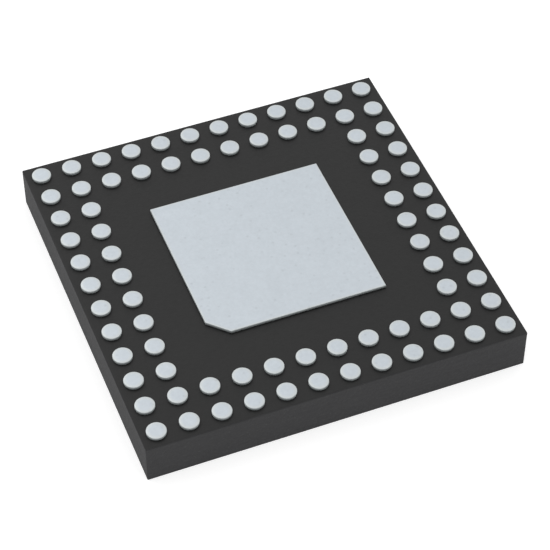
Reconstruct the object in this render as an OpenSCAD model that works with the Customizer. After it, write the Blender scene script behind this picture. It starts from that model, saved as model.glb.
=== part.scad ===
// Clock buffer chip: a moulded land grid package with two rings of round lands
// round an exposed thermal pad. It lies on its marked face with the lands up.
// The origin is the centre of the marked face, and pin A1 is at the -X, -Y corner.

/* [Moulding] */
// Side of the square moulding
body_side = 6.0; // [5.9:0.05:8]
// Thickness of the moulding, from the marked face to the land side
body_h = 0.70; // [0.65:0.01:1.2]

/* [Pin 1 mark] */
// Diameter of the round mark on the marked face
mark_d = 0.50; // [0.2:0.05:0.8]
// Depth of the mark
mark_depth = 0.02; // [0.01:0.005:0.05]
// Distance from the mark's centre to the two nearest sides
mark_inset = 0.80; // [0.5:0.05:1.5]

/* [Copper] */
// Thickness of the etched copper, the same for the lands and the paddle
copper_t = 0.12; // [0.1:0.005:0.15]
// How far the copper stands proud of the moulding
standoff = 0.05; // [0.03:0.005:0.07]

/* [Lands] */
// Number of lands along a side of the outer ring
lands_per_side = 12; // [10:1:12]
// Number of rings of lands
rings = 2; // [1:1:2]
// Distance from one land's centre to the next, and from ring to ring
land_pitch = 0.50; // [0.42:0.01:0.51]
// Diameter of a land
land_d = 0.30; // [0.2:0.01:0.36]
// Radius of a land's outer edge
land_edge_r = 0.008; // [0.004:0.001:0.02]
// How far the buried rib that locks a land in the moulding stands out
land_rib = 0.02; // [0.01:0.005:0.03]

/* [Thermal pad] */
// Side of the exposed face of the die paddle
pad_side = 2.80; // [2.6:0.05:3.4]
// Legs of the chamfer that shows the pin 1 corner
pad_chamfer = 0.30; // [0.1:0.05:0.6]
// How far the buried ledge reaches past the exposed face
pad_ledge = 0.10; // [0.05:0.01:0.2]
// Thickness of the moulding over that ledge
ledge_cover = 0.02; // [0.01:0.005:0.03]

/* [Die] */
// Side of the square silicon die
die_side = 2.50; // [1.9:0.05:2.7]
// Thickness of the die
die_t = 0.20; // [0.1:0.01:0.24]
// Thickness of the adhesive between die and paddle
attach_t = 0.02; // [0.01:0.005:0.04]
// How far the adhesive spreads past the die
attach_spread = 0.06; // [0.02:0.01:0.09]
// Radius of the adhesive's corners
attach_corner_r = 0.15; // [0.05:0.01:0.3]

/* [Bond wires] */
// Diameter of the gold wire
wire_d = 0.020; // [0.015:0.001:0.025]
// Height of the loop over the die, for a wire to the outer ring
loop_outer = 0.15; // [0.12:0.01:0.2]
// Height of the loop over the die, for a wire to the inner ring
loop_inner = 0.09; // [0.07:0.01:0.11]
// Radius of the bend at the top of the loop
wire_bend = 0.04; // [0.03:0.005:0.045]
// Diameter of the ball that is pressed onto the die
ball_d = 0.050; // [0.04:0.002:0.06]
// Height of that ball
ball_h = 0.012; // [0.008:0.001:0.014]
// Diameter of the cone that joins ball and wire
cone_d = 0.034; // [0.028:0.001:0.038]
// Height of that cone
cone_h = 0.012; // [0.008:0.001:0.014]
// Diameter of the flattened stitch on the land
stitch_d = 0.045; // [0.035:0.001:0.06]
// Height of that stitch
stitch_h = 0.006; // [0.004:0.001:0.009]
// Distance from the die's edge to its row of bond pads
bond_inset = 0.08; // [0.05:0.01:0.12]
// Distance from the die's corner to the first bond pad
bond_corner = 0.20; // [0.15:0.01:0.3]

/* [Hidden] */
$fn = 48;

ROW_LETTERS = "abcdefghjklm";
SIDE_NAMES = ["front", "right", "back", "left"];
RING_NAMES = ["outer", "inner"];

function row_node(row) = str("lands_row_", ROW_LETTERS[row]);
function wires_node(side, ring) = str("bond_wires_", SIDE_NAMES[side], "_", RING_NAMES[ring]);

// Levels, counted up from the marked face
outer_face_z = body_h + standoff;
inner_face_z = outer_face_z - copper_t;
die_back_z = inner_face_z - attach_t;
die_face_z = die_back_z - die_t;

buried_t = copper_t - standoff;
ledge_side = pad_side + 2 * pad_ledge;

wire_r = wire_d / 2;
// From the die's face up to the copper that the wires end on
wire_drop = inner_face_z - die_face_z;
loop_h = [loop_outer, loop_inner];

// Distance from the centre of the grid to a ring of lands
function ring_out(ring) = ((lands_per_side - 1) / 2 - ring) * land_pitch;
// Place of a column or row of lands
function land_at(i) = (i - (lands_per_side - 1) / 2) * land_pitch;
// Number of steps from a land to the nearest edge of the grid
function ring_of(col, row) = min(col, row, lands_per_side - 1 - col, lands_per_side - 1 - row);

// The lands that one side of the die serves, as [ring, place along the side]. Each
// side takes the corner at its start and leaves the one at its end to the next side.
side_lands = [
    for (ring = [0:rings - 1], i = [0:lands_per_side - 2 - 2 * ring])
        [ring, i * land_pitch - ring_out(ring)]
];
bond_pitch = (die_side - 2 * bond_corner) / (len(side_lands) - 1);

// Bond pads take the lands in the order in which they are seen from this far out
// from the chip's centre, so that no wire crosses another
fan_eye = 0.6;
function bearing(land) = land[1] / (ring_out(land[0]) - fan_eye);
function comes_before(i, j) =
    let (a = bearing(side_lands[i]), b = bearing(side_lands[j])) a < b || (a == b && i < j);
function bond_pad_of(j) = len([for (i = [0:len(side_lands) - 1]) if (comes_before(i, j)) i]);

// Square outline with a chamfer at its -X, -Y corner
module chamfered_square(side, chamfer) {
    h = side / 2;
    polygon([[-h + chamfer, -h], [h, -h], [h, h], [-h, h], [-h, -h + chamfer]]);
}

// What a rounding takes off a square corner that lies at the origin and points to +X, +Y
module corner_waste(corner_r) {
    translate([-corner_r, -corner_r])
        difference() {
            square(2 * corner_r);
            circle(corner_r);
        }
}

// Land stud standing on its inner face: the rib is where the two etched halves meet
module land() {
    r = land_d / 2;
    rotate_extrude()
        difference() {
            polygon([
                [0, 0], [r, 0], [r + land_rib, buried_t / 2], [r, buried_t],
                [r, copper_t], [0, copper_t]
            ]);
            translate([r, copper_t]) corner_waste(land_edge_r);
        }
}

module lands_row(row) {
    color("#c8cfd6")
        for (col = [0:lands_per_side - 1])
            if (ring_of(col, row) < rings)
                translate([land_at(col), land_at(row), inner_face_z]) land();
}

module die_paddle() {
    color("#c8cfd6")
        translate([0, 0, inner_face_z]) {
            linear_extrude(copper_t) chamfered_square(pad_side, pad_chamfer);
            linear_extrude(buried_t - ledge_cover) square(ledge_side, center = true);
        }
}

module die_attach() {
    side = die_side + 2 * attach_spread;
    color("#8d8f88")
        translate([0, 0, die_back_z])
            linear_extrude(attach_t)
                difference() {
                    square(side, center = true);
                    for (turn = [0:90:270])
                        rotate(turn) translate([side / 2, side / 2]) corner_waste(attach_corner_r);
                }
}

module silicon_die() {
    color("#59616e")
        translate([-die_side / 2, -die_side / 2, die_face_z])
            cube([die_side, die_side, die_t]);
}

// One bond wire, with its ball at the origin, its loop rising along Z and its run
// going out along X to a land that lies wire_drop lower
module bond_wire(run, loop) {
    $fn = 24;
    out = run - wire_bend;
    down = loop - wire_bend + wire_drop;
    reach = norm([out, down]);
    // To a hundredth of a degree, so that the bend meets the neck and the run exactly
    slope = round(100 * (atan2(down, out) + asin(wire_bend / reach))) / 100;
    straight = sqrt(reach * reach - wire_bend * wire_bend);
    tail = wire_d / tan(slope);

    difference() {
        union() {
            rotate_extrude()
                polygon([
                    [0, 0], [ball_d / 2, 0], [ball_d / 2, ball_h], [cone_d / 2, ball_h],
                    [wire_r, ball_h + cone_h], [wire_r, loop - wire_bend], [0, loop - wire_bend]
                ]);
            translate([wire_bend, 0, loop - wire_bend]) {
                rotate([90, 0, 0])
                    rotate([0, 0, 90 - slope])
                        rotate_extrude(angle = 90 + slope)
                            translate([wire_bend, 0]) circle(wire_r);
                rotate([0, 90 + slope, 0])
                    translate([-wire_bend, 0, 0])
                        cylinder(r = wire_r, h = straight + tail);
            }
            translate([run, 0, -wire_drop]) cylinder(d = stitch_d, h = stitch_h);
        }
        // The land's face cuts the wire off flat
        translate([0, -wire_d, -wire_drop - 2 * wire_d])
            cube([2 * run, 2 * wire_d, 2 * wire_d]);
    }
}

// The wires from one side of the die to one ring of lands
module bond_wires(side, ring) {
    color("#d8b45a")
        rotate([0, 0, 90 * side])
            for (i = [0:len(side_lands) - 1])
                if (side_lands[i][0] == ring) {
                    start = [bond_corner - die_side / 2 + bond_pad_of(i) * bond_pitch,
                             bond_inset - die_side / 2];
                    run = [side_lands[i][1], -ring_out(ring)] - start;
                    translate([start[0], start[1], die_face_z])
                        rotate([180, 0, atan2(run[1], run[0])])
                            bond_wire(norm(run), loop_h[ring]);
                }
}

// The moulding is poured round everything else, so it is hollow where they are
module mould_body() {
    color("#3c3c3d")
        difference() {
            translate([-body_side / 2, -body_side / 2, 0])
                cube([body_side, body_side, body_h]);
            for (row = [0:lands_per_side - 1]) lands_row(row);
            die_paddle();
            die_attach();
            silicon_die();
            for (side = [0:3], ring = [0:rings - 1]) bond_wires(side, ring);
            pin_1_mark();
        }
}

module pin_1_mark() {
    corner = mark_inset - body_side / 2;
    translate([corner, corner, -mark_depth]) cylinder(d = mark_d, h = 2 * mark_depth);
}

mould_body();
die_paddle();
die_attach();
silicon_die();
for (row = [0:lands_per_side - 1])
    lands_row(row);
for (side = [0:3], ring = [0:rings - 1])
    bond_wires(side, ring);
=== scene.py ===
"""The looks of a clock buffer chip: a moulded land grid package that lies with its lands up."""

from math import radians, sqrt

import bmesh
import bpy
from mathutils import Color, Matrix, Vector


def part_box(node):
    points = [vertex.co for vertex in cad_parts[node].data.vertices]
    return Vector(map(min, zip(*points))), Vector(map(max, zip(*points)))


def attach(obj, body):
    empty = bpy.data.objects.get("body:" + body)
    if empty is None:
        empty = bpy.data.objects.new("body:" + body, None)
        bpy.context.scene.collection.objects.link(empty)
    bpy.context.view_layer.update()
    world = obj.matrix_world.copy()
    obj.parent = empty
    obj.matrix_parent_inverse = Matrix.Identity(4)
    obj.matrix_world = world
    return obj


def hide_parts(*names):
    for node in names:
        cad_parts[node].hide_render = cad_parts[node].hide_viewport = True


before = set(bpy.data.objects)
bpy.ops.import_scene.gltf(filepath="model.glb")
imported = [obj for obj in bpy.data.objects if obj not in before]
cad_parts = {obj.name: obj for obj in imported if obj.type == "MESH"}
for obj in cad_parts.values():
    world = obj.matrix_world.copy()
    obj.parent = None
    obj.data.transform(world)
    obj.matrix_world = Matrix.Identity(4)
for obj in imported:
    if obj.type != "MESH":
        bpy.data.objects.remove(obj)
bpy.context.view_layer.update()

# Die paddle
# A plate of copper, etched from both faces and plated bright, that carries the die. Its outer
# face is the thermal pad, with a chamfer at pin 1, and the half-etched ledge round its inner
# half is buried in the moulding and locks it there. Sizes are in millimetres.
MM = 0.001
LEDGE_W = 0.10
LEDGE_T = 0.05
PIN_1_CHAMFER = 0.30
COPPER_EDGE_R = 0.008
EDGE_SEGMENTS = 4
# Corners closer together than this gap count as one, and faces that turn by less than this
# angle count as flat
MERGE_GAP = 1e-5
FLAT_ANGLE = radians(0.5)
# A face looks up if its normal rises by more than this
LOOKS_UP = 0.9
# The plating's colour, and its colour at the rim, which is lighter and greyer there in a painted
# highlight
PLATING = "#c7ced4"
PLATING_RIM_HIGHLIGHT = "#cbd0d1"
# Painted shade darkens the metal's foot to this. It starts so far under the moulding's face, and
# ends as far under the metal's own.
FOOT_PAINTED_SHADE = 0.35
FOOT_DROP = 0.005
# Its walls are rougher than its outer face by so much, until this far under that face
WALL_ROUGHER = 0.5
WALL_STOP = 0.002

paddle_low, paddle_high = (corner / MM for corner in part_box("die_paddle"))
moulding_low, moulding_high = (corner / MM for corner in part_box("mould_body"))
copper_inner_z = paddle_low.z
copper_outer_z = paddle_high.z
pad_half = paddle_high.x - LEDGE_W
# The chamfer cuts off the corner where x + y is less than this
chamfer_sum = PIN_1_CHAMFER - 2 * pad_half

# The ledge's plate is scored along the pad's outline, and what lies inside it is raised
paddle = bmesh.new()
bmesh.ops.create_cube(paddle, size=1)
plate_size = (paddle_high.x - paddle_low.x, paddle_high.y - paddle_low.y, LEDGE_T)
bmesh.ops.scale(paddle, vec=plate_size, verts=paddle.verts)
bmesh.ops.translate(paddle, vec=(0, 0, copper_inner_z + LEDGE_T / 2), verts=paddle.verts)
outline_cuts = [
    ((pad_half, 0, 0), (1, 0, 0)),
    ((-pad_half, 0, 0), (-1, 0, 0)),
    ((0, pad_half, 0), (0, 1, 0)),
    ((0, -pad_half, 0), (0, -1, 0)),
    ((chamfer_sum / 2, chamfer_sum / 2, 0), (-1, -1, 0)),
]
for point, outward in outline_cuts:
    top_faces = [face for face in paddle.faces if face.normal.z > LOOKS_UP]
    top_edges = {edge for face in top_faces for edge in face.edges}
    top_verts = {vert for face in top_faces for vert in face.verts}
    top = [*top_faces, *top_edges, *top_verts]
    bmesh.ops.bisect_plane(paddle, geom=top, plane_co=point, plane_no=outward)
paddle.normal_update()


def is_on_pad(face):
    """Whether a face of the scored plate lies inside every cut, on its upper side."""
    middle = face.calc_center_median()
    inside = all(
        (middle - Vector(point)).xy.dot(Vector(outward).xy) < 0 for point, outward in outline_cuts
    )
    return inside and face.normal.z > LOOKS_UP


def lies_on(edge, axis, value):
    """Whether both ends of an edge have this coordinate."""
    return all(abs(vert.co[axis] - value) < MERGE_GAP for vert in edge.verts)


def round_edges(shape, edges, radius):
    """Rounds edges of a bmesh and shades the new strips smoothly."""
    rounded = bmesh.ops.bevel(
        shape,
        geom=edges,
        offset=radius,
        offset_type="OFFSET",
        affect="EDGES",
        segments=EDGE_SEGMENTS,
        profile=0.5,
        material=-1,
    )
    for face in rounded["faces"]:
        face.smooth = True


pad_faces = [face for face in paddle.faces if is_on_pad(face)]
pad_edges = {edge for face in pad_faces for edge in face.edges}
raised = bmesh.ops.extrude_face_region(paddle, geom=[*pad_faces, *pad_edges])
raised_verts = [part for part in raised["geom"] if isinstance(part, bmesh.types.BMVert)]
rise = copper_outer_z - copper_inner_z - LEDGE_T
bmesh.ops.translate(paddle, vec=(0, 0, rise), verts=raised_verts)
bmesh.ops.dissolve_limit(
    paddle, angle_limit=FLAT_ANGLE, verts=paddle.verts, edges=paddle.edges
)
bmesh.ops.recalc_face_normals(paddle, faces=paddle.faces)
rim_edges = [edge for edge in paddle.edges if lies_on(edge, 2, copper_outer_z)]
round_edges(paddle, rim_edges, COPPER_EDGE_R)


def add_node(tree, kind, inputs, **properties):
    """Adds a shader node. Each input gets the socket that it is linked to, or a plain value. An
    input is given by its name, or by its number where several share a name."""
    node = tree.nodes.new(kind)
    for name, value in properties.items():
        setattr(node, name, value)
    in_use = [socket for socket in node.inputs if socket.enabled]
    by_name = {socket.name: socket for socket in in_use}
    for name, value in inputs.items():
        socket = in_use[name] if isinstance(name, int) else by_name[name]
        if isinstance(value, bpy.types.NodeSocket):
            tree.links.new(value, socket)
        else:
            socket.default_value = value
    return node


def work_out(tree, operation, *values):
    """The result of a Math node on one, two or three sockets or numbers."""
    return add_node(tree, "ShaderNodeMath", dict(enumerate(values)), operation=operation).outputs[0]


def ramp(tree, value, start, end, low=0, high=1, shape="SMOOTHSTEP"):
    """Turns a value that runs from start to end into one that runs from low to high. The change
    is soft at both ends, unless another shape is named."""
    inputs = {"Value": value, "From Min": start, "From Max": end, "To Min": low, "To Max": high}
    return add_node(tree, "ShaderNodeMapRange", inputs, interpolation_type=shape).outputs[0]


def mix_colours(tree, share, first, second, how="MIX"):
    """Mixes two colours, from the first alone at a share of 0 to the second alone at 1, or to
    the product of both where it is told to MULTIPLY."""
    inputs = {"Factor": share, "A": first, "B": second}
    mix = add_node(tree, "ShaderNodeMix", inputs, data_type="RGBA", blend_type=how)
    return next(socket for socket in mix.outputs if socket.enabled)


def shade(tree, colour, *strengths):
    """A colour made lighter or darker by factors that vary over the surface."""
    for strength in strengths:
        colour = mix_colours(tree, 1, colour, strength, how="MULTIPLY")
    return colour


def coordinates(tree, place):
    """The coordinates of a place, as sockets named X, Y and Z."""
    return add_node(tree, "ShaderNodeSeparateXYZ", {"Vector": place}).outputs


def count_in(tree, place, unit):
    """The x and the y of a place, counted in a unit of so many metres."""
    axes = coordinates(tree, place)
    return [work_out(tree, "DIVIDE", axes[name], unit) for name in "XY"]


def off_middle(tree, x, y):
    """How far a place lies from the middle of the chip along x or y, whichever is more."""
    return work_out(tree, "MAXIMUM", work_out(tree, "ABSOLUTE", x), work_out(tree, "ABSOLUTE", y))


def start_group(name, inputs, output):
    """Starts a node group with named inputs and one output, and gives its tree, the sockets that
    its inputs come from and the one that its output goes to."""
    tree = bpy.data.node_groups.new(name, "ShaderNodeTree")
    for label, kind, default in inputs:
        socket = tree.interface.new_socket(label, in_out="INPUT", socket_type=kind)
        socket.default_value = default
    tree.interface.new_socket(output, in_out="OUTPUT", socket_type="NodeSocketFloat")
    given = tree.nodes.new("NodeGroupInput").outputs
    return tree, given, tree.nodes.new("NodeGroupOutput").inputs[output]


def use_group(tree, group, inputs):
    """Places a node group in a material and gives its output."""
    return add_node(tree, "ShaderNodeGroup", inputs, node_tree=group).outputs[0]


# Cloudy or fine grain: a value that wanders between two limits, with so many grains a millimetre.
# The noise that it is made of nearly always lies between the two values given here.
NOISE_LOW = 0.3
NOISE_HIGH = 0.7

grain, given, result = start_group(
    "grain",
    [
        ("Place", "NodeSocketVector", (0, 0, 0)),
        ("Grains per mm", "NodeSocketFloat", 10),
        ("Least", "NodeSocketFloat", 0),
        ("Most", "NodeSocketFloat", 1),
    ],
    "Value",
)
grains_per_m = work_out(grain, "DIVIDE", given["Grains per mm"], MM)
noise = {"Vector": given["Place"], "Scale": grains_per_m, "Detail": 3, "Roughness": 0.6}
cloud = add_node(grain, "ShaderNodeTexNoise", noise).outputs[0]
limits = (NOISE_LOW, NOISE_HIGH, given["Least"], given["Most"])
grain.links.new(ramp(grain, cloud, *limits, shape="LINEAR"), result)

# Small round spots, scattered about so many a millimetre apart: a value of Middle at the
# middle of each spot, and of 1 between them. Reach is a spot's radius as a share of that spacing.
spots, given, result = start_group(
    "spots",
    [
        ("Place", "NodeSocketVector", (0, 0, 0)),
        ("Spots per mm", "NodeSocketFloat", 8),
        ("Reach", "NodeSocketFloat", 0.2),
        ("Middle", "NodeSocketFloat", 0),
    ],
    "Value",
)
spots_per_m = work_out(spots, "DIVIDE", given["Spots per mm"], MM)
cells = add_node(spots, "ShaderNodeTexVoronoi", {"Vector": given["Place"], "Scale": spots_per_m})
off_spot = cells.outputs["Distance"]
spots.links.new(ramp(spots, off_spot, 0, given["Reach"], low=given["Middle"], high=1), result)

# Distance in millimetres from the thermal pad's outline, less than nothing on the pad itself
pad_outline, given, result = start_group(
    "pad outline", [("Place", "NodeSocketVector", (0, 0, 0))], "Distance"
)
x, y = count_in(pad_outline, given["Place"], MM)
past_sides = work_out(pad_outline, "SUBTRACT", off_middle(pad_outline, x, y), pad_half)
under_sum = work_out(pad_outline, "SUBTRACT", chamfer_sum, work_out(pad_outline, "ADD", x, y))
past_chamfer = work_out(pad_outline, "DIVIDE", under_sum, sqrt(2))
pad_outline.links.new(work_out(pad_outline, "MAXIMUM", past_sides, past_chamfer), result)


def from_hex(code):
    """A colour as it looks on a screen, given as hex digits, as a shader's colour."""
    screen = Color(int(code[start : start + 2], 16) / 255 for start in (1, 3, 5))
    return (*screen.from_srgb_to_scene_linear(), 1)


def start_material(name):
    """Starts a material, and gives its tree, its shader and the Object coordinates."""
    material = bpy.data.materials.new(name)
    material.use_nodes = True
    tree = material.node_tree
    place = tree.nodes.new("ShaderNodeTexCoord").outputs["Object"]
    return material, tree, tree.nodes["Principled BSDF"], place


def wander(tree, place, grains_per_mm, least=0, most=1):
    """A value that wanders between two limits over the surface, as grain or as faint clouds."""
    inputs = {"Place": place, "Grains per mm": grains_per_mm, "Least": least, "Most": most}
    return use_group(tree, grain, inputs)


def scatter(tree, place, spots_per_mm, reach, middle):
    """A value of 1 that goes to the given one in small spots scattered over the surface."""
    inputs = {"Place": place, "Spots per mm": spots_per_mm, "Reach": reach, "Middle": middle}
    return use_group(tree, spots, inputs)


def finish_surface(tree, shader, colour, roughness, height, relief):
    """Gives a shader its colour, its roughness and a relief of so many millimetres."""
    tree.links.new(colour, shader.inputs["Base Color"])
    tree.links.new(roughness, shader.inputs["Roughness"])
    bump = add_node(tree, "ShaderNodeBump", {"Distance": relief * MM, "Height": height})
    tree.links.new(bump.outputs[0], shader.inputs["Normal"])


def plated_copper(name, outline, rim_start, rim_end):
    """Matt bright plating on etched copper, with fine pits, and lighter and greyer at its rim in a
    painted highlight. The etched walls are rougher, and painted shade darkens them towards their
    foot."""
    material, tree, shader, place = start_material(name)
    # A painted highlight makes the rim a little lighter and greyer
    rim_highlight = ramp(tree, use_group(tree, outline, {"Place": place}), rim_start, rim_end)
    plating = mix_colours(tree, rim_highlight, from_hex(PLATING), from_hex(PLATING_RIM_HIGHLIGHT))
    level = coordinates(tree, place)["Z"]
    # Painted shade darkens the walls from their foot up to where it clears
    foot = (moulding_high.z - FOOT_DROP) * MM
    clear = (copper_outer_z - FOOT_DROP) * MM
    colour = shade(
        tree,
        plating,
        wander(tree, place, grains_per_mm=3, least=0.985, most=1.015),
        wander(tree, place, grains_per_mm=18, least=0.97, most=1.03),
        scatter(tree, place, spots_per_mm=7, reach=0.24, middle=0.9),
        ramp(tree, level, foot, clear, low=FOOT_PAINTED_SHADE, high=1),
    )
    wall = (copper_outer_z - COPPER_EDGE_R) * MM
    wall_stop = (copper_outer_z - WALL_STOP) * MM
    rougher = ramp(tree, level, wall, wall_stop, low=WALL_ROUGHER, high=0)
    matt = wander(tree, place, grains_per_mm=30, least=0.42, most=0.52)
    roughness = work_out(tree, "ADD", rougher, matt)
    pits = wander(tree, place, grains_per_mm=60)
    finish_surface(tree, shader, colour, roughness, pits, relief=0.00025)
    shader.inputs["Metallic"].default_value = 1
    return material


def add_piece(name, shape, materials, stands_for):
    """Makes a bmesh that was made in millimetres a piece of the chip, which is in metres. Faces
    with many corners are cut into triangles first, because at this size in metres they fold."""
    many_cornered = [face for face in shape.faces if len(face.verts) > 4]
    bmesh.ops.triangulate(shape, faces=many_cornered)
    bmesh.ops.scale(shape, vec=(MM, MM, MM), verts=shape.verts)
    mesh = bpy.data.meshes.new(name)
    shape.to_mesh(mesh)
    shape.free()
    for material in materials:
        mesh.materials.append(material)
    piece = bpy.data.objects.new(name, mesh)
    bpy.context.scene.collection.objects.link(piece)
    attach(piece, "root")
    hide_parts(stands_for)
    return piece


pad_finish = plated_copper("plated_pad", pad_outline, rim_start=-0.045, rim_end=0)
add_piece("thermal_paddle", paddle, [pad_finish], "die_paddle")

# Lands
# Eighty copper studs in two rings, left standing when the frame is etched through from its
# outer face, and plated with the paddle. The rib where the two etched halves meet is buried
# in the moulding and keeps each stud from being pulled out.
RINGS = 2
LAND_R = 0.15
LAND_RIB = 0.02
CROWN_R = 0.085
CROWN_H = 0.001
LAND_SIDES = 64
SHARP_ANGLE = radians(40)

land_rows = sorted(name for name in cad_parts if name.startswith("lands_row_"))
row_low, row_high = (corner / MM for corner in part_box(land_rows[0]))
last = len(land_rows) - 1
land_pitch = (row_high.x - row_low.x - 2 * (LAND_R + LAND_RIB)) / last
rib_z = (copper_inner_z + moulding_high.z) / 2
rim_z = copper_outer_z - CROWN_H

# Half of a land's section, from its axis out and back, is turned all the way round
land_section = [
    (0, copper_inner_z),
    (LAND_R, copper_inner_z),
    (LAND_R + LAND_RIB, rib_z),
    (LAND_R, moulding_high.z),
    (LAND_R, rim_z),
    (CROWN_R, copper_outer_z),
    (0, copper_outer_z),
]
land = bmesh.new()
corners = [land.verts.new((out, 0, level)) for out, level in land_section]
lines = [land.edges.new(pair) for pair in zip(corners, corners[1:])]
bmesh.ops.spin(
    land,
    geom=corners + lines,
    axis=(0, 0, 1),
    angle=radians(360),
    steps=LAND_SIDES,
    use_merge=True,
)
bmesh.ops.remove_doubles(land, verts=land.verts, dist=MERGE_GAP)
bmesh.ops.recalc_face_normals(land, faces=land.faces)
rim_edges = [edge for edge in land.edges if lies_on(edge, 2, rim_z)]
round_edges(land, rim_edges, COPPER_EDGE_R)
for face in land.faces:
    face.smooth = True
land_mesh = bpy.data.meshes.new("land")
land.to_mesh(land_mesh)
land.free()

# Distance in millimetres from the centre of the nearest land. Lands stand half a pitch off the
# chip's centre lines, and only in the outer rings, so further in the distance is made large.
land_centres, given, result = start_group(
    "land centres", [("Place", "NodeSocketVector", (0, 0, 0))], "Distance"
)
x, y = count_in(land_centres, given["Place"], MM * land_pitch)
off_centre = [
    work_out(land_centres, "SUBTRACT", work_out(land_centres, "FRACT", along), 0.5)
    for along in (x, y)
]
squares = [work_out(land_centres, "POWER", off, 2) for off in off_centre]
pitches_away = work_out(land_centres, "SQRT", work_out(land_centres, "ADD", *squares))
millimetres = work_out(land_centres, "MULTIPLY", pitches_away, land_pitch)
rings_start = (last + 1) / 2 - RINGS
further_in = work_out(land_centres, "LESS_THAN", off_middle(land_centres, x, y), rings_start)
land_centres.links.new(work_out(land_centres, "ADD", millimetres, further_in), result)

land_finish = plated_copper("plated_lands", land_centres, rim_start=CROWN_R, rim_end=0.14)
for row, node_name in enumerate(land_rows):
    lands = bmesh.new()
    for column in range(last + 1):
        if min(row, column, last - row, last - column) < RINGS:
            already = len(lands.verts)
            lands.from_mesh(land_mesh)
            lands.verts.ensure_lookup_table()
            centre = ((column - last / 2) * land_pitch, (row - last / 2) * land_pitch, 0)
            bmesh.ops.translate(lands, vec=centre, verts=lands.verts[already:])
    name = node_name.replace("lands_row", "plated_lands")
    piece = add_piece(name, lands, [land_finish], node_name)
    piece.data.set_sharp_from_angle(angle=SHARP_ANGLE)

# Die adhesive
# A thin layer of epoxy filled with silver flakes, squeezed out a little past the die when the
# die was pressed onto the paddle, and cured in an oven.
SILVER_EPOXY = "#8d8f88"
FLAKES_PER_MM = 40


def dress(node_name, material):
    """Gives a piece that keeps the frame's own shape its finish."""
    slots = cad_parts[node_name].data.materials
    slots.clear()
    slots.append(material)


adhesive, tree, shader, place = start_material("silver_filled_epoxy")
flakes = wander(tree, place, FLAKES_PER_MM, least=0.7, most=1.2)
colour = shade(tree, from_hex(SILVER_EPOXY), flakes)
roughness = wander(tree, place, grains_per_mm=12, least=0.45, most=0.65)
height = wander(tree, place, FLAKES_PER_MM)
finish_surface(tree, shader, colour, roughness, height, relief=0.001)
silver = wander(tree, place, FLAKES_PER_MM, least=0.1, most=0.7)
tree.links.new(silver, shader.inputs["Metallic"])
dress("die_attach", adhesive)

# Silicon die
# A square chip of silicon, ground thin on its back and sawn from its wafer. It is stuck back
# first to the paddle, so its wired face looks away from the lands.
SILICON = "#59616e"
SCRATCHES_PER_MM = 60
SCRATCH_STRETCH = 0.05


def stretch(tree, place, scale):
    """Coordinates that draw a pattern out along each axis whose scale is small."""
    return add_node(tree, "ShaderNodeMapping", {"Vector": place, "Scale": scale}).outputs[0]


silicon, tree, shader, place = start_material("ground_silicon")
along_grinding = stretch(tree, place, (SCRATCH_STRETCH, 1, 1))
scratches = wander(tree, along_grinding, SCRATCHES_PER_MM, least=0.85, most=1.1)
colour = shade(tree, from_hex(SILICON), scratches)
roughness = wander(tree, along_grinding, SCRATCHES_PER_MM, least=0.15, most=0.35)
height = wander(tree, along_grinding, SCRATCHES_PER_MM)
finish_surface(tree, shader, colour, roughness, height, relief=0.0002)
shader.inputs["Metallic"].default_value = 0.6
dress("silicon_die", silicon)

# Bond wires
# Eighty drawn gold wires, one for each land. Each was pressed onto the die as a ball, drawn up
# in a loop and stitched flat onto its land.
WIRE_GOLD = "#e3bb62"

gold, tree, shader, place = start_material("drawn_gold")
tarnish = wander(tree, place, grains_per_mm=20, least=0.93, most=1.05)
colour = shade(tree, from_hex(WIRE_GOLD), tarnish)
roughness = wander(tree, place, grains_per_mm=80, least=0.18, most=0.32)
height = wander(tree, place, grains_per_mm=120)
finish_surface(tree, shader, colour, roughness, height, relief=0.0001)
shader.inputs["Metallic"].default_value = 1
for node_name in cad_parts:
    if node_name.startswith("bond_wires_"):
        dress(node_name, gold)

# Moulding
# Black epoxy filled with ground silica, pressed round everything else in a flat mould and then
# sawn square, so that its two faces have the mould's fine matt and its four sides are cut. A
# narrow ring of painted shade darkens it round the foot of each piece of metal.
SAWN_EDGE_R = 0.015
MARK_R = 0.25
MARK_INSET = 0.80
MARK_DEPTH = 0.02
# Width of the ring of painted shade round each land and round the pad, and how dark it gets
LAND_SHADE_RING_W = 0.05
PAD_SHADE_RING_W = 0.04
RING_PAINTED_SHADE = 0.45
# The cut sides are darkened by painted shade in a strip under the land side
SHADE_STRIP_DEPTH = 0.045
STRIP_PAINTED_SHADE = 0.65
# Saw marks are drawn out along the cut, and are a little smoother and a little raised
SAW_STRETCH = 0.03
SAW_SMOOTHER = -0.06
SAW_RAISED = 0.08
# The laser cuts the mark in lines this far apart
HATCH_PITCH = 0.035
# A face stands upright if its normal rises or falls by less than this
UPRIGHT = 0.85

compound = bmesh.new()
compound.from_mesh(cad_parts["mould_body"].data)
bmesh.ops.scale(compound, vec=(1 / MM, 1 / MM, 1 / MM), verts=compound.verts)
bmesh.ops.remove_doubles(compound, verts=compound.verts, dist=MERGE_GAP)
bmesh.ops.dissolve_limit(
    compound, angle_limit=FLAT_ANGLE, verts=compound.verts, edges=compound.edges
)


def sides_of(edge):
    """How many of the block's four sawn sides an edge lies on."""
    return sum(
        lies_on(edge, axis, end[axis]) for axis in (0, 1) for end in (moulding_low, moulding_high)
    )


# The blade comes in through the land side, and leaves the edges there and at the corners a
# little rounded, but those of the marked face sharp
corner_edges = [edge for edge in compound.edges if sides_of(edge) == 2]
land_side_edges = [
    edge for edge in compound.edges if sides_of(edge) == 1 and lies_on(edge, 2, moulding_high.z)
]
round_edges(compound, corner_edges + land_side_edges, SAWN_EDGE_R)


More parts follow.
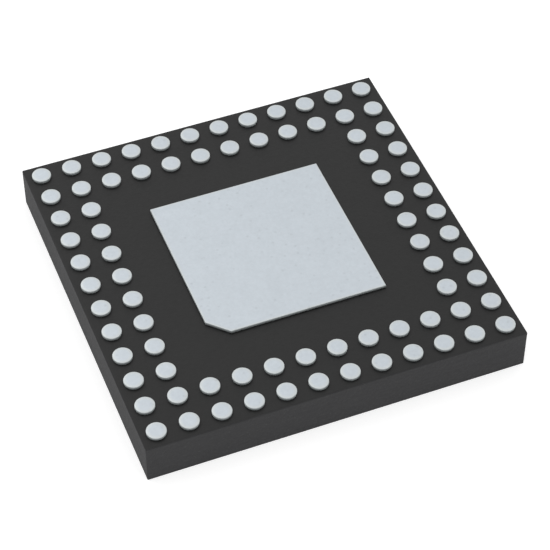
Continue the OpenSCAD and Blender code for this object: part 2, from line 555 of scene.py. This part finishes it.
def start_compound(name, tone, gloss):
    """Starts a finish of filled epoxy, with faint clouds and a speckle of silica grains."""
    material, tree, shader, place = start_material(name)
    clouds = wander(tree, place, grains_per_mm=1.5, least=0.97, most=1.03)
    specks = wander(tree, place, grains_per_mm=18, least=0.96, most=1.04)
    shader.inputs["Specular IOR Level"].default_value = gloss
    return material, tree, shader, place, shade(tree, from_hex(tone), clouds, specks)


# Below the land side the metal counts as at least a millimetre away, so no painted shade is drawn
# there
moulded, tree, shader, place, colour = start_compound("moulded_compound", "#0e0e0e", gloss=0.39)
level = coordinates(tree, place)["Z"]
under = work_out(tree, "LESS_THAN", level, (moulding_high.z - SAWN_EDGE_R) * MM)
from_land, from_pad = (
    work_out(tree, "MAXIMUM", use_group(tree, outline, {"Place": place}), under)
    for outline in (land_centres, pad_outline)
)
colour = shade(
    tree,
    colour,
    ramp(tree, from_land, LAND_R, LAND_R + LAND_SHADE_RING_W, low=RING_PAINTED_SHADE, high=1),
    ramp(tree, from_pad, 0, PAD_SHADE_RING_W, low=RING_PAINTED_SHADE, high=1),
)
roughness = wander(tree, place, grains_per_mm=15, least=0.39, most=0.51)
height = wander(tree, place, grains_per_mm=15)
finish_surface(tree, shader, colour, roughness, height, relief=0.0015)

sawn, tree, shader, place, colour = start_compound("sawn_compound", "#434344", gloss=0.15)
along_cut = stretch(tree, place, (SAW_STRETCH, SAW_STRETCH, 1))
saw_marks = wander(tree, along_cut, grains_per_mm=30)
level = coordinates(tree, place)["Z"]
# The strip of painted shade starts this far under the land side
shade_strip_start = (moulding_high.z - SHADE_STRIP_DEPTH) * MM
colour = shade(
    tree,
    colour,
    ramp(tree, saw_marks, 0, 1, low=0.98, high=1.02),
    scatter(tree, place, spots_per_mm=14, reach=0.3, middle=1.25),
    ramp(tree, level, shade_strip_start, moulding_high.z * MM, low=1, high=STRIP_PAINTED_SHADE),
)
matt = wander(tree, place, grains_per_mm=25, least=0.7, most=0.82)
roughness = work_out(tree, "MULTIPLY_ADD", saw_marks, SAW_SMOOTHER, matt)
grains = wander(tree, place, grains_per_mm=15)
height = work_out(tree, "MULTIPLY_ADD", saw_marks, SAW_RAISED, grains)
finish_surface(tree, shader, colour, roughness, height, relief=0.006)

# The laser lifts the resin off line by line and leaves the floor of the mark pale and rough
lasered, tree, shader, place, colour = start_compound("lasered_compound", "#77766f", gloss=0.2)
across = coordinates(tree, place)["Y"]
turns = work_out(tree, "MULTIPLY", across, radians(360) / (HATCH_PITCH * MM))
hatching = work_out(tree, "SINE", turns)
colour = shade(
    tree,
    colour,
    ramp(tree, hatching, -1, 1, low=0.8, high=1.1),
    wander(tree, place, grains_per_mm=20, least=0.8, most=1.1),
)
roughness = wander(tree, place, grains_per_mm=40, least=0.75, most=0.95)
finish_surface(tree, shader, colour, roughness, hatching, relief=0.002)

finishes = [moulded, sawn, lasered]
mark_centre = moulding_low.xy + Vector((MARK_INSET, MARK_INSET))
side_start = moulding_high.x - SAWN_EDGE_R
for face in compound.faces:
    middle = face.calc_center_median()
    at_mark_depth = MERGE_GAP < middle.z < MARK_DEPTH + MERGE_GAP
    finish = moulded
    if at_mark_depth and (middle.xy - mark_centre).length < MARK_R:
        finish = lasered
    elif abs(face.normal.z) < UPRIGHT and max(abs(middle.x), abs(middle.y)) > side_start:
        finish = sawn
    face.material_index = finishes.index(finish)
add_piece("moulding", compound, finishes, "mould_body")

# Table top, room and camera
# The chip lies on a plain pale surface under soft light from all round, with a little more from
# a large soft lamp high behind it on the left. The camera looks down on it with a long lens.
TABLE_HALF = 500
WHITE = (1, 1, 1, 1)
PALE = (0.75, 0.75, 0.75, 1)
# The glow of the table top, the light that the room gives, and the room as it is seen itself,
# each as a share of white
TABLE_GLOW = 0.55
ROOM_LIGHT = 0.85
ROOM_SEEN = 0.97
LAMP_PLACE = Vector((-15.5, 33, 41)) * MM
LAMP_D = 30
LAMP_WATTS = 0.0023
CAMERA_PLACE = Vector((-8.03902, -20.85456, 24.83566)) * MM
CAMERA_AIM = Vector((-0.087184, -0.595178, 0.75)) * MM
CAMERA_LENS = 140.029

floor_shape = bmesh.new()
bmesh.ops.create_grid(floor_shape, x_segments=1, y_segments=1, size=TABLE_HALF * MM)
floor_mesh = bpy.data.meshes.new("table_top")
floor_shape.to_mesh(floor_mesh)
floor_shape.free()
floor = bpy.data.objects.new("table_top", floor_mesh)
bpy.context.scene.collection.objects.link(floor)


def seen_directly(tree):
    """1 for what the camera, a reflection or glass sees, and 0 for the light that falls on things."""
    rays = tree.nodes.new("ShaderNodeLightPath").outputs
    seen = work_out(tree, "MAXIMUM", rays["Is Camera Ray"], rays["Is Glossy Ray"])
    return work_out(tree, "MAXIMUM", seen, rays["Is Transmission Ray"])


paper, tree, shader, place = start_material("pale_paper")
shader.inputs["Base Color"].default_value = PALE
shader.inputs["Roughness"].default_value = 0.9
shader.inputs["Specular IOR Level"].default_value = 0.1
strength = work_out(tree, "MULTIPLY", seen_directly(tree), TABLE_GLOW)
glow = add_node(tree, "ShaderNodeEmission", {"Color": WHITE, "Strength": strength})
both = add_node(tree, "ShaderNodeAddShader", {0: shader.outputs[0], 1: glow.outputs[0]})
tree.links.new(both.outputs[0], tree.nodes["Material Output"].inputs["Surface"])
floor_mesh.materials.append(paper)

room = bpy.data.worlds.new("white_room")
room.use_nodes = True
tree = room.node_tree
background = tree.nodes["Background"]
background.inputs["Color"].default_value = WHITE
strength = ramp(tree, seen_directly(tree), 0, 1, low=ROOM_LIGHT, high=ROOM_SEEN)
tree.links.new(strength, background.inputs["Strength"])
bpy.context.scene.world = room


def look_from(thing, place, aim):
    """Puts a lamp or a camera in its place and turns it to what it is aimed at."""
    thing.location = place
    thing.rotation_euler = (aim - place).to_track_quat("-Z", "Y").to_euler()
    bpy.context.scene.collection.objects.link(thing)


lamp = bpy.data.lights.new("soft_lamp", "AREA")
lamp.shape = "DISK"
lamp.size = LAMP_D * MM
lamp.energy = LAMP_WATTS
look_from(bpy.data.objects.new("soft_lamp", lamp), LAMP_PLACE, aim=Vector((0, 0, 0)))

lens = bpy.data.cameras.new("camera")
lens.lens = CAMERA_LENS
lens.clip_start = MM
camera = bpy.data.objects.new("camera", lens)
look_from(camera, CAMERA_PLACE, CAMERA_AIM)
bpy.context.scene.camera = camera
bpy.context.scene.view_settings.view_transform = "Standard"
